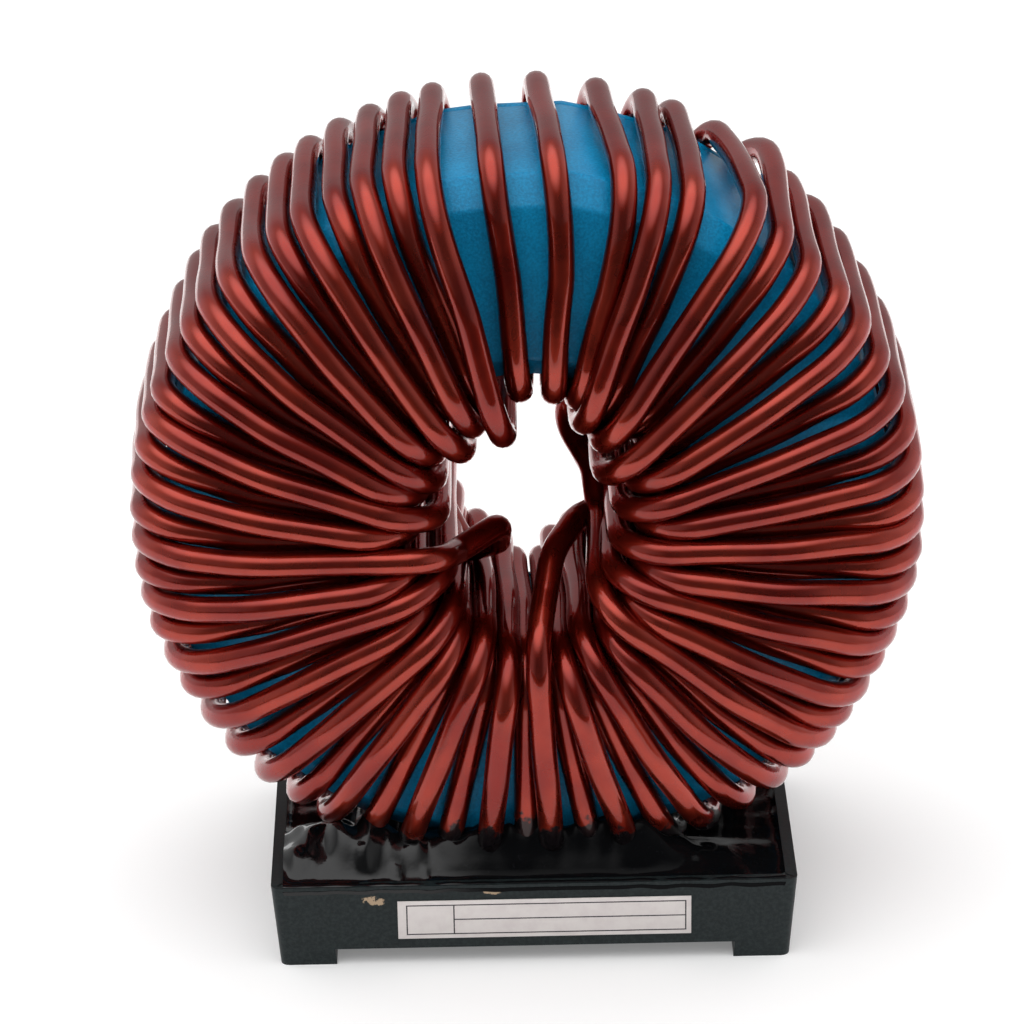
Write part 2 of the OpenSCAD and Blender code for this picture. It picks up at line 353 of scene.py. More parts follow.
@dataclass(frozen=True)
class TrayPlastic:
    """Black moulded plastic with a slight green cast, and rubbed spots along its front rim."""

    dark: Colour = (0.008, 0.013, 0.014)
    worn: Colour = (0.019, 0.027, 0.028)
    rub: Colour = (0.45, 0.33, 0.22)
    roughness: float = 0.42
    specular: float = 0.22
    grain_mm: float = 0.3
    flake_mm: float = 0.55
    bump_depth: float = 0.03

    def material(self, rub_spots: tuple[tuple[Vector, Vector], ...]) -> bpy.types.Material:
        """Builds the finish.

        Args:
            rub_spots: Middle and reach of each rubbed spot, in millimetres.

        Returns:
            The new material.
        """
        shader = Shader("tray_plastic")
        grain = shader.noise(self.grain_mm, 3.0, 0.65)
        colour = shader.mix(shader.ramp(grain, 0.35, 0.7), self.dark, self.worn)
        flakes = shader.noise(self.flake_mm, 4.0, 0.7)
        for centre, reach in rub_spots:
            near = shader.ramp(shader.spot(centre, reach), 1.0, 0.0)
            rubbed = shader.ramp(shader.math("MULTIPLY", near, flakes), 0.34, 0.42)
            colour = shader.mix(rubbed, colour, self.rub)
        shader.set(
            Base_Color=colour,
            Roughness=shader.ramp(grain, 0.3, 0.7, self.roughness - 0.06, self.roughness + 0.08),
            Specular_IOR_Level=self.specular,
        )
        shader.bump(grain, self.bump_depth, 0.5)
        return shader.material


@dataclass(frozen=True)
class ResinFinish:
    """Black potting resin, glossiest in the pool at the left."""

    colour: Colour = (0.0036, 0.0038, 0.0044)
    roughness: float = 0.07
    pool_gloss: float = 0.42
    film_gloss: float = 0.05
    pool_x: tuple[float, float] = (-10.0, -3.0)
    haze_mm: float = 3.0
    haze: float = 0.16
    dust_mm: float = 0.5
    dust_light: float = 5.0
    bump_mm: float = 1.1
    bump_depth: float = 0.05

    def material(self) -> bpy.types.Material:
        """Builds the finish."""
        shader = Shader("potting_resin")
        haze = shader.noise(self.haze_mm, 4.0, 0.6)
        dust = shader.ramp(shader.noise(self.dust_mm, 3.0, 0.7), 0.62, 0.8)
        across = shader.math("MULTIPLY", shader.axis("X"), 1 / MM)
        shader.set(
            Base_Color=shader.mix(dust, self.colour, tuple(self.dust_light * c for c in self.colour)),
            Roughness=shader.ramp(haze, 0.45, 0.75, self.roughness, self.roughness + self.haze),
            Specular_IOR_Level=shader.ramp(across, *self.pool_x, self.pool_gloss, self.film_gloss),
        )
        shader.bump(shader.noise(self.bump_mm, 3.0, 0.55), self.bump_depth, 0.5)
        return shader.material


@dataclass(frozen=True)
class PaperFinish:
    """A pale satin sticker with a thin ruled frame and empty cells."""

    paper: Colour = (0.76, 0.71, 0.69)
    shade: Colour = (0.69, 0.63, 0.62)
    ink: Colour = (0.035, 0.028, 0.032)
    roughness: float = 0.5
    specular: float = 0.35
    stain_mm: float = 1.5
    bleed_mm: float = 0.12
    bleed: float = 0.03
    bump_mm: float = 0.8
    bump_depth: float = 0.02

    def material(self, rules: tuple[tuple[Vector, Vector], ...]) -> bpy.types.Material:
        """Builds the finish.

        Args:
            rules: Lowest and highest corner of each printed line, in millimetres.

        Returns:
            The new material.
        """
        shader = Shader("label_paper")
        stain = shader.ramp(shader.noise(self.stain_mm, 4.0, 0.6), 0.35, 0.75)
        colour = shader.mix(stain, self.paper, self.shade)
        uneven = shader.math("SUBTRACT", shader.noise(self.bleed_mm, 2.0), 0.5)
        bleed = shader.math("MULTIPLY", uneven, self.bleed * MM)
        across = shader.math("ADD", shader.axis("X"), bleed)
        up = shader.math("ADD", shader.axis("Z"), bleed)
        for low, high in rules:
            inked: object = 1.0
            for place, first, last in ((across, low.x, high.x), (up, low.z, high.z)):
                inside = shader.math("COMPARE", place, (first + last) / 2 * MM)
                inside.node.inputs[2].default_value = (last - first) / 2 * MM
                inked = shader.math("MULTIPLY", inside, inked)
            colour = shader.mix(inked, colour, self.ink)
        shader.set(Base_Color=colour, Roughness=self.roughness, Specular_IOR_Level=self.specular)
        shader.bump(shader.noise(self.bump_mm, 2.0), self.bump_depth, 0.4)
        return shader.material


@dataclass(frozen=True)
class PowderFinish:
    """Pressed grey metal powder."""

    dark: Colour = (0.11, 0.11, 0.115)
    light: Colour = (0.26, 0.26, 0.27)
    metallic: float = 0.6
    roughness: float = 0.6
    grain_mm: float = 0.3
    bump_depth: float = 0.04

    def material(self) -> bpy.types.Material:
        """Builds the finish."""
        shader = Shader("core_powder")
        grain = shader.noise(self.grain_mm, 4.0, 0.7)
        shader.set(
            Base_Color=shader.mix(shader.ramp(grain, 0.3, 0.7), self.dark, self.light),
            Metallic=self.metallic,
            Roughness=self.roughness,
        )
        shader.bump(grain, self.bump_depth, 0.6)
        return shader.material


@dataclass(frozen=True)
class Sector:
    """A run of evenly laid turns, clockwise from the bottom as seen from the front.

    Angles are in degrees clockwise from the top; rise is how far the odd turns stand off the
    face to pass over the even ones, in wire diameters, and bank is how fully they stack in the bore.
    """

    rim_first: float
    rim_last: float
    bore_first: float
    bore_last: float
    turns: int
    rise: float
    bank: float = 1.0


@dataclass(frozen=True)
class Turn:
    """One turn of the winding: its angles in degrees, bore layer, rise, slack, bend radius and sag."""

    rim: float
    bore: float
    layer: float
    rise: float
    slack: float
    bend: float
    sag: float


@dataclass(frozen=True)
class LooseLoop:
    """A turn that hangs loose in the bore.

    Places are what it passes there, from the ring's middle, and exit_shift is how far round its back
    end leaves the bore, in degrees.
    """

    turn: int
    places: tuple[Vector, ...]
    exit_shift: float = 0.0
    bend: float = 4.5


@dataclass
class Winding:
    """One length of heavy enamelled wire, wound through the ring so that every other turn stands proud."""

    axis_z: float
    case_half: float
    wire_d: float = 2.13
    wire_gap: float = 0.03
    case_corner_r: float = 29.8
    bore_wall_r: float = 12.5
    bend_out: float = 7.5
    bend_low: float = 4.0
    bend_bank: float = 5.0
    bend_face: float = 14.0
    bulge_r: float = 22.0
    bulge_way: float = 0.45
    bulge_share: float = 0.95
    layer_pitch: float = 0.95
    low_rise: float = 0.45
    rim_arch: float = 0.36
    turn_slack: float = 0.2
    high_turn: int = 37
    high_slack: float = 1.5
    sag: float = -2.0
    lead_end_z: float = 0.7
    tin_z: float = 3.2
    smear_rise: float = 4.0
    last_angle: float = 539.0
    left_lean: float = 3.9
    right_lean: float = 0.9
    lean_span: float = 6.0
    rim_jitter: float = 0.4
    bore_jitter: float = 0.3
    rise_jitter: float = 0.3
    bend_room: float = 0.48
    wander: float = 0.28
    wander_span: float = 9.0
    wander_z: tuple[float, float] = (8.0, 16.0)
    arch_span: tuple[float, float] = (3.5, 0.5)
    sides_step: int = 6
    arc_steps: int = 8
    fill_step: float = 1.6
    seed: int = 7
    sectors: tuple[Sector, ...] = (
        Sector(181, 207, 182, 209, 5, 1.35, 0.45),
        Sector(213, 243.5, 214, 238.5, 6, 1.45, 0.7),
        Sector(248.5, 302.5, 243.5, 296.5, 12, 1.6),
        Sector(307.5, 346, 301.3, 347, 9, 1.5, 0.7),
        Sector(355.5, 365, 357, 370, 2, 0.0),
        Sector(375, 386, 380.5, 391.5, 3, 1.0, 0.35),
        Sector(395, 437.5, 397.5, 440, 8, 1.5, 0.85),
        Sector(442.5, 494.5, 445, 498, 12, 1.6),
        Sector(500, 536.5, 503, 537, 7, 1.35, 0.45),
    )
    loops: tuple[LooseLoop, ...] = (
        LooseLoop(15, (
            Vector((-5.8, -10.2, -2.2)), Vector((-2.3, -6.4, -1.5)), Vector((-2.4, -3.6, -4.2)),
            Vector((-4.8, 1.0, -7.0)), Vector((-7.4, 8.0, -4.6)),
        ), bend=1.9),
        LooseLoop(55, (
            Vector((5.9, -1.0, -2.8)), Vector((5.6, 2.0, 0.0)), Vector((3.2, 5.5, 3.0)),
            Vector((4.6, 10.5, 3.4)),
        )),
        LooseLoop(63, (
            Vector((1.35, -9.4, -6.4)), Vector((1.9, -6.2, -4.0)), Vector((4.0, -2.0, -2.9)),
            Vector((7.0, 3.0, -3.7)), Vector((9.4, 8.0, -5.6)),
        ), exit_shift=-36, bend=6.0),
    )
    finish: EnamelFinish = field(default_factory=EnamelFinish)

    @property
    def lay(self) -> float:
        """Distance from the case to the wire's middle where the wire lies on it."""
        return self.wire_d / 2 + self.wire_gap

    @property
    def out_r(self) -> float:
        """Radius of the wire's middle at the outer rim."""
        return self.case_corner_r + self.lay

    @property
    def face_y(self) -> float:
        """Depth of the wire's middle on a face."""
        return self.case_half + self.lay

    def turns(self) -> list[Turn]:
        """The turns in the order in which they were wound."""
        draw = random.Random(self.seed)
        found: list[Turn] = []
        for sector in self.sectors:
            for i in range(sector.turns):
                place = i / (sector.turns - 1)
                rim = blend(sector.rim_first, sector.rim_last, place)
                bore = blend(sector.bore_first, sector.bore_last, place)
                k = len(found)
                proud = k % 2 == 1 and sector.rise > 0
                upper = max(0.0, math.cos(math.radians(rim)))
                found.append(Turn(
                    rim=rim + draw.uniform(-self.rim_jitter, self.rim_jitter),
                    bore=bore + draw.uniform(-self.bore_jitter, self.bore_jitter),
                    layer=sector.bank * (1 + k // 2 % 2) if proud else 0.0,
                    rise=(
                        sector.rise * self.wire_d + draw.uniform(-self.rise_jitter, self.rise_jitter)
                        if proud else self.low_rise
                    ),
                    slack=(
                        self.high_slack if k == self.high_turn
                        else self.turn_slack * draw.random() * upper
                    ),
                    sag=self.sag * math.sin(math.radians(rim)) if proud else 0.0,
                    bend=self.bend_bank if proud else self.bend_low,
                ))
        return found

    def at(self, radius: float, depth: float, angle: float) -> Vector:
        """A point at a radius and depth, at an angle clockwise from the top."""
        a = math.radians(angle)
        return Vector((radius * math.sin(a), depth, self.axis_z + radius * math.cos(a)))

    def back_angle(self, rim: float, next_rim: float) -> float:
        """Angle at the back of the rim: half way to the next turn, leaning over near the top."""
        middle = (rim + next_rim) / 2
        off = (middle + 180) % 360 - 180
        lean = blend(self.left_lean, self.right_lean, smooth_step(-self.lean_span, self.lean_span, off))
        return middle + lean * max(0.0, math.cos(math.radians(off))) ** 3

    def half_turn(self, turn: Turn, side: Side, rim: float, bore: float) -> list[tuple[Vector, float]]:
        """Corners of the wire on one face, from the outer rim to the bore.

        Args:
            turn: The turn.
            side: The face.
            rim: Its angle at the outer rim.
            bore: Its angle at the bore.

        Returns:
            The corners with their bend radii.
        """
        radius = self.bore_wall_r - self.lay - turn.layer * self.layer_pitch * self.wire_d
        bulge = self.face_y + self.bulge_share * turn.rise
        middle = blend(rim, bore, self.bulge_way) + turn.sag
        return [
            (self.at(self.out_r + turn.slack, side.value * self.face_y, rim), self.bend_out),
            (self.at(self.bulge_r, side.value * bulge, middle), self.bend_face),
            (self.at(radius, side.value * (self.face_y + turn.rise), bore), turn.bend),
        ]

    def corners(self) -> list[tuple[Vector, float]]:
        """Every corner of the wire's route, with its bend radius."""
        turns = self.turns()
        loops = {loop.turn: loop for loop in self.loops}
        middle = Vector((0.0, 0.0, self.axis_z))
        lead_r = self.axis_z - self.lead_end_z
        route: list[tuple[Vector, float]] = []
        for k, turn in enumerate(turns):
            following = turns[k + 1] if k + 1 < len(turns) else None
            next_rim = following.rim if following else self.last_angle
            next_bore = following.bore if following else self.last_angle
            bore_back = (turn.bore + next_bore) / 2
            if k in loops:
                bore_back += loops[k].exit_shift
            front = self.half_turn(turn, Side.FRONT, turn.rim, turn.bore)
            back = self.half_turn(turn, Side.BACK, self.back_angle(turn.rim, next_rim), bore_back)
            if k == 0:
                front[0] = (self.at(lead_r, -self.face_y, turn.rim), 0.0)
            if not following:
                back[0] = (self.at(lead_r, self.face_y, self.last_angle), 0.0)
            route += front
            if k in loops:
                route += [(middle + place, loops[k].bend) for place in loops[k].places]
            route += reversed(back)
        return route

    def bent(self, before: Vector, corner: Vector, after: Vector, radius: float) -> list[Vector]:
        """A round bend in place of a corner.

        Args:
            before: The corner before this one.
            corner: The corner to round.
            after: The corner after it.
            radius: Radius of the bend.

        Returns:
            Points along the bend.
        """
        to_before = (before - corner).normalized()
        to_after = (after - corner).normalized()
        half = to_before.angle(to_after) / 2
        room = self.bend_room * min((before - corner).length, (after - corner).length)
        radius = min(radius, room * math.tan(half))
        centre = corner + (to_before + to_after).normalized() * (radius / math.sin(half))
        start = (corner + to_before * (radius / math.tan(half)) - centre).normalized()
        end = (corner + to_after * (radius / math.tan(half)) - centre).normalized()
        steps = range(self.arc_steps + 1)
        return [centre + radius * start.slerp(end, i / self.arc_steps) for i in steps]

    def route(self) -> list[Vector]:
        """The wire's centre line, bent at every corner and laid a little unevenly."""
        noise.seed_set(self.seed)
        corners = self.corners()
        points = [corners[0][0]]
        for (before, _), (corner, radius), (after, _) in zip(corners, corners[1:], corners[2:]):
            points += self.bent(before, corner, after, radius)
        points.append(corners[-1][0])
        return [self.wandered(p) for p in self.filled(points)]

    def filled(self, points: list[Vector]) -> list[Vector]:
        """Adds points along the straight runs, so that they can bow."""
        filled = [points[0]]
        for first, last in zip(points, points[1:]):
            pieces = max(1, round((last - first).length / self.fill_step))
            filled += [first.lerp(last, i / pieces) for i in range(1, pieces + 1)]
        return filled

    def wandered(self, point: Vector) -> Vector:
        """Moves a point the way its neighbours move, arched over the outer rim."""
        held = smooth_step(*self.wander_z, point.z)
        drift = noise.noise_vector(point / self.wander_span) * self.wander * held
        outward = Vector((point.x, 0.0, point.z - self.axis_z))
        arch_from, arch_to = (self.out_r - short for short in self.arch_span)
        on_rim = smooth_step(arch_from, arch_to, outward.length)
        crown = max(0.0, 1 - (point.y / self.face_y) ** 2)
        return point + drift + outward.normalized() * (self.rim_arch * crown * on_rim)

    def build(self) -> bpy.types.Object:
        """Makes the wire as one swept mesh."""
        curve = bpy.data.curves.new("winding_route", "CURVE")
        curve.dimensions = "3D"
        curve.bevel_depth = self.wire_d / 2
        curve.bevel_resolution = self.sides_step
        curve.use_fill_caps = True
        points = self.route()
        spline = curve.splines.new("POLY")
        spline.points.add(len(points) - 1)
        for slot, point in zip(spline.points, points):
            slot.co = (*point, 1.0)
        carrier = bpy.data.objects.new("winding_route", curve)
        bpy.context.scene.collection.objects.link(carrier)
        bpy.context.view_layer.update()
        graph = bpy.context.evaluated_depsgraph_get()
        mesh = bpy.data.meshes.new_from_object(carrier.evaluated_get(graph))
        bpy.data.objects.remove(carrier)
        mesh.name = "enamelled_winding"
        mesh.transform(Matrix.Scale(MM, 4))
        tray_top = node_box_mm("base_tray")[1].z
        material = self.finish.material(tin_z=self.tin_z, smear_z=tray_top + self.smear_rise)
        return place_mesh("enamelled_winding", mesh, material, ("winding",), 60.0)


@dataclass
class CoreCase:
    """The blue shell round the core: a cup with flats round it, and the lid that closes its back."""

    axis_z: float
    flat_r: float = 29.5
    bore_r: float = 12.5
    half: float = 10.6
    chamfer: float = 2.1
    lid_t: float = 3.0
    pocket_in: float = 13.1
    pocket_out: float = 28.7
    pocket_y: float = -7.7
    flats: int = 18
    turn_deg: float = -1.5
    steps_per_flat: int = 3
    edge: float = 0.28
    edge_steps: int = 3
    sharp_deg: float = 14.0
    finish: CasePlastic = field(default_factory=CasePlastic)

    def ring(self, section: list[tuple[float, float]]) -> bmesh.types.BMesh:
        """Spins a section round the ring's axis and pulls its outside onto the flats.

        Args:
            section: Radius and depth of each corner.

        Returns:
            The shape, in millimetres.
        """
        shape = bmesh.new()
        corners = [shape.verts.new((0.0, depth, self.axis_z + radius)) for radius, depth in section]
        loop = [shape.edges.new((a, b)) for a, b in zip(corners, corners[1:] + corners[:1])]
        bmesh.ops.spin(
            shape, geom=corners + loop, cent=(0, 0, self.axis_z), axis=(0, 1, 0), dvec=(0, 0, 0),
            angle=2 * math.pi, steps=self.flats * self.steps_per_flat, use_merge=True, use_duplicate=False,
        )
        self.flatten(shape)
        bmesh.ops.recalc_face_normals(shape, faces=shape.faces)
        sharp = [e for e in shape.edges if e.calc_face_angle(0.0) > math.radians(self.sharp_deg)]
        soften(shape, sharp, self.edge, self.edge_steps)
        return shape

    def flatten(self, shape: bmesh.types.BMesh) -> None:
        """Moves the outer corners of a spun shape onto the case's flats."""
        pitch = 2 * math.pi / self.flats
        for vert in shape.verts:
            outward = Vector((vert.co.x, 0.0, vert.co.z - self.axis_z))
            if outward.length < self.pocket_out - self.chamfer:
                continue
            angle = math.atan2(outward.x, outward.z) - math.radians(self.turn_deg)
            off_middle = (angle + pitch / 2) % pitch - pitch / 2
            vert.co += outward * (1 / math.cos(off_middle) - 1)

    def build(self) -> list[bpy.types.Object]:
        """Makes the cup and the lid."""
        seam = self.half - self.lid_t
        rim = self.flat_r - self.chamfer
        mouth = self.bore_r + self.chamfer
        cup = [
            (mouth, -self.half),
            (rim, -self.half),
            (self.flat_r, self.chamfer - self.half),
            (self.flat_r, seam),
            (self.pocket_out, seam),
            (self.pocket_out, self.pocket_y),
            (self.pocket_in, self.pocket_y),
            (self.pocket_in, seam),
            (self.bore_r, seam),
            (self.bore_r, self.chamfer - self.half),
        ]
        lid = [
            (self.bore_r, seam),
            (self.flat_r, seam),
            (self.flat_r, self.half - self.chamfer),
            (rim, self.half),
            (mouth, self.half),
            (self.bore_r, self.half - self.chamfer),
        ]
        material = self.finish.material()
        return [
            finish_piece("case_cup", self.ring(cup), material, ("core_case_cup",)),
            finish_piece("case_lid", self.ring(lid), material, ("core_case_lid",)),
        ]


@dataclass
class Tray:
    """The shallow black tray with leaning sides and four corner feet.

    Each rub along its front has a middle along X, a drop below the rim, which is also its reach
    up and down, and a reach along X.
    """

    width: float
    depth: float
    rim_z: float
    foot_h: float = 1.45
    wall: float = 0.95
    floor_z: float = 3.25
    draft: float = 0.6
    corner: float = 0.7
    foot_w: float = 4.5
    foot_d: float = 5.0
    corner_steps: int = 4
    rubs: tuple[tuple[float, float, float], ...] = ((-13.1, 1.3, 2.6), (-3.4, 0.7, 2.1))
    rub_depth: float = 1.2
    finish: TrayPlastic = field(default_factory=TrayPlastic)

    def lean(self, z: float) -> float:
        """How far the sides lie in from the rim at a height."""
        return self.draft * (1 - z / self.rim_z)

    def block(self) -> bmesh.types.BMesh:
        """The tray's body as a leaning block with round corners."""
        shape = bmesh.new()
        bmesh.ops.create_cube(shape, size=1.0)
        for vert in shape.verts:
            z = self.rim_z if vert.co.z > 0 else self.foot_h
            lean = 2 * self.lean(z)
            vert.co = Vector((vert.co.x * (self.width - lean), vert.co.y * (self.depth - lean), z))
        upright = [e for e in shape.edges if abs(e.verts[0].co.z - e.verts[1].co.z) > 1.0]
        soften(shape, upright, self.corner, self.corner_steps)
        return shape

    def hollow(self, shape: bmesh.types.BMesh) -> None:
        """Sinks the room inside the tray."""
        top = max(shape.faces, key=lambda f: f.calc_center_median().z)
        bmesh.ops.inset_region(shape, faces=[top], thickness=self.wall, use_even_offset=True)
        sunk = bmesh.ops.extrude_face_region(shape, geom=[top])
        bmesh.ops.delete(shape, geom=[top], context="FACES")
        floor = [v for v in sunk["geom"] if isinstance(v, bmesh.types.BMVert)]
        bmesh.ops.translate(shape, vec=(0, 0, self.floor_z - self.rim_z), verts=floor)

    def add_feet(self, shape: bmesh.types.BMesh) -> None:
        """Parts the underside by the feet's edges and draws the four corners down."""
        under_x = self.width / 2 - self.draft - self.foot_w
        under_y = self.depth / 2 - self.draft - self.foot_d
        for axis, place in ((0, under_x), (0, -under_x), (1, under_y), (1, -under_y)):
            under = [f for f in shape.faces if f.normal.z < -0.9]
            parts = {v for f in under for v in f.verts} | {e for f in under for e in f.edges} | set(under)
            normal = Vector((1, 0, 0)) if axis == 0 else Vector((0, 1, 0))
            bmesh.ops.bisect_plane(
                shape, geom=list(parts), dist=0.001, plane_co=normal * place, plane_no=normal
            )
        corners = [
            f for f in shape.faces
            if f.normal.z < -0.9
            and abs(f.calc_center_median().x) > under_x
            and abs(f.calc_center_median().y) > under_y
        ]
        for foot in corners:
            drawn = bmesh.ops.extrude_face_region(shape, geom=[foot])
            bmesh.ops.delete(shape, geom=[foot], context="FACES")
            for vert in (v for v in drawn["geom"] if isinstance(v, bmesh.types.BMVert)):
                vert.co.z = 0.0
                vert.co.x -= math.copysign(self.lean(0) - self.lean(self.foot_h), vert.co.x)
                vert.co.y -= math.copysign(self.lean(0) - self.lean(self.foot_h), vert.co.y)

    def build(self) -> bpy.types.Object:
        """Makes the tray."""
        shape = self.block()
        bmesh.ops.recalc_face_normals(shape, faces=shape.faces)
        self.hollow(shape)
        bmesh.ops.recalc_face_normals(shape, faces=shape.faces)
        self.add_feet(shape)
        front = -self.depth / 2
        spots = tuple(
            (Vector((x, front, self.rim_z - drop)), Vector((reach, self.rub_depth, drop)))
            for x, drop, reach in self.rubs
        )
        return finish_piece("tray", shape, self.finish.material(spots), ("base_tray",))


@dataclass(frozen=True)
class Swell:
    """A rounded rise in the resin: its middle, its height and its reach along and across."""

    x: float
    y: float
    height: float
    reach_x: float
    reach_y: float
    power: float = 2.0

    def rise(self, x: float, y: float) -> float:
        """Height of the swell at a place."""
        along = (abs(x - self.x) / self.reach_x) ** self.power
        across = (abs(y - self.y) / self.reach_y) ** self.power
        return self.height * math.exp(-(along + across))


@dataclass
class Resin:
    """The black resin in the tray.

    It climbs the lower turns, stands in a lump at the left and laps over the front wall. Ripple,
    pull and wave are uneven heights, each with its span in millimetres and its own slice of noise.
    """

    half_x: float
    half_y: float
    floor_z: float
    fill_z: float
    rim_z: float
    front: float
    cell: float = 0.2
    meniscus: float = 0.35
    meniscus_reach: float = 0.5
    lap_top: float = 0.16
    lap_drop: float = 0.55
    lap_round: float = 0.7
    lap_reach: float = 1.5
    lap_full: float = 0.2
    ripple: float = 0.10
    ripple_span: tuple[float, float] = (3.0, 2.2)
    pull: float = 0.35
    pull_span: tuple[float, float] = (1.7, 3.0)
    pull_slice: float = 4.0
    wave: float = 0.14
    wave_span: float = 1.9
    wave_slice: float = 7.0
    skirt_share: float = 0.93
    swells: tuple[Swell, ...] = (
        Swell(0.8, -11.5, 3.3, 11.7, 2.1, 2.6),
        Swell(0.5, -13.2, 0.5, 9.6, 1.3, 6.0),
        Swell(0.2, 12.0, 4.0, 12.2, 2.4, 2.6),
        Swell(-16.3, -11.2, 2.9, 4.3, 3.9, 3.6),
        Swell(-12.0, -12.6, 1.5, 3.4, 1.9, 3.0),
        Swell(9.6, -12.6, 1.2, 2.6, 1.5, 3.0),
    )
    bubbles: tuple[Swell, ...] = (
        Swell(-14.0, -14.5, 0.32, 0.55, 0.55, 4.0),
        Swell(-11.2, -14.9, 0.28, 0.5, 0.5, 4.0),
        Swell(-8.9, -14.7, 0.18, 0.35, 0.35, 4.0),
        Swell(13.4, -13.0, 0.16, 0.35, 0.35, 4.0),
    )
    finish: ResinFinish = field(default_factory=ResinFinish)

    def height(self, x: float, y: float) -> float:
        """Height of the resin's surface at a place."""
        wall = min(self.half_x - abs(x), self.half_y - y)
        edge = self.meniscus * math.exp(-max(wall, 0.0) / self.meniscus_reach)
        ripple_x, ripple_y = self.ripple_span
        ripple = self.ripple * noise.noise(Vector((x / ripple_x, y / ripple_y, 0.0)))
        pull_x, pull_y = self.pull_span
        pulled = 1 + self.pull * noise.noise(Vector((x / pull_x, y / pull_y, self.pull_slice)))
        level = self.fill_z + edge + ripple + pulled * sum(s.rise(x, y) for s in self.swells)
        level += sum(b.rise(x, y) for b in self.bubbles)
        lap = smooth_step(self.lap_reach, self.lap_full, self.front + y)
        wavy = self.lap_top + self.wave * noise.noise(Vector((x / self.wave_span, self.wave_slice, 0.0)))
        level = blend(level, max(level, self.rim_z + wavy), lap)
        over = min(max((self.lap_round - self.front - y) / self.lap_round, 0.0), 1.0)
        return level - self.lap_drop * (1 - math.sqrt(1 - over * over))

    def build(self) -> bpy.types.Object:
        """Makes the resin as one closed body with a modelled surface."""
        shape = bmesh.new()
        depth = self.front + self.half_y
        bmesh.ops.create_grid(
            shape,
            x_segments=round(2 * self.half_x / self.cell),
            y_segments=round(depth / self.cell),
            size=1.0,
        )
        for vert in shape.verts:
            x = vert.co.x * self.half_x
            y = (vert.co.y + 1) / 2 * depth - self.front
            vert.co = Vector((x, y, self.height(x, y)))
        edge = [e for e in shape.edges if e.is_boundary]
        skirt = bmesh.ops.extrude_edge_only(shape, edges=edge)
        for vert in (v for v in skirt["geom"] if isinstance(v, bmesh.types.BMVert)):
            vert.co = Vector((vert.co.x * self.skirt_share, vert.co.y * self.skirt_share, self.floor_z))
        bmesh.ops.holes_fill(shape, edges=[e for e in shape.edges if e.is_boundary])
        return finish_piece("resin", shape, self.finish.material(), ("potting",), 50.0)


@dataclass
class Label:
    """The paper sticker on the front of the tray, with a ruled frame and empty cells."""

    low: Vector
    high: Vector
    rim_z: float
    tray_front: float
    lean: float
    frame_side: float = 0.75
    frame_end: float = 0.45
    frame_rise: float = 0.42
    divider: float = 4.6
    line: float = 0.11
    thick: float = 0.12
    edge: float = 0.03
    edge_steps: int = 2
    gap: float = 0.01
    finish: PaperFinish = field(default_factory=PaperFinish)

    def rules(self) -> tuple[tuple[Vector, Vector], ...]:
        """Lowest and highest corner of each printed line."""
        left = self.low.x + self.frame_side
        right = self.high.x - self.frame_end
        bottom = self.low.z + self.frame_rise
        top = self.high.z - self.frame_rise
        post = self.low.x + self.divider
        middle = (bottom + top) / 2
        flat = ((left, right, bottom), (left, right, top), (post, right, middle))
        tall = ((left, bottom, top), (right, bottom, top), (post, bottom, top))
        half = self.line / 2
        lines = [(Vector((a - half, 0, z - half)), Vector((b + half, 0, z + half))) for a, b, z in flat]
        lines += [(Vector((x - half, 0, a - half)), Vector((x + half, 0, b + half))) for x, a, b in tall]
        return tuple(lines)

    def build(self) -> bpy.types.Object:
        """Makes the sticker as a thin sheet with soft edges."""
        shape = bmesh.new()
        bmesh.ops.create_cube(shape, size=1.0)
        middle = (self.low + self.high) / 2
        size = self.high - self.low
        for vert in shape.verts:
            vert.co = Vector((vert.co.x * size.x, vert.co.y * self.thick, vert.co.z * size.z)) + middle
        soften(shape, list(shape.edges), self.edge, self.edge_steps)
        for vert in shape.verts:
            front = self.tray_front + (self.rim_z - vert.co.z) * self.lean - self.thick / 2 - self.gap
            vert.co.y = front + (vert.co.y - middle.y)
        return finish_piece("label", shape, self.finish.material(self.rules()), ("label",))


class Surround(Shader):
    """The world's node tree, which glows by direction."""

    def __init__(self, world: bpy.types.World) -> None:
        """Takes over the world's node tree."""
        self.tree = world.node_tree

    def direction(self) -> bpy.types.NodeSocket:
        """The direction looked in."""
        return self.tree.nodes.new("ShaderNodeTexCoord").outputs["Generated"]

    def facing(self, toward: bpy.types.NodeSocket, way: Vector) -> bpy.types.NodeSocket:
        """How far a direction points one way."""
        node = self.tree.nodes.new("ShaderNodeVectorMath")
        node.operation = "DOT_PRODUCT"
        self.link(toward, node.inputs[0])
        node.inputs[1].default_value = way
        return node.outputs["Value"]


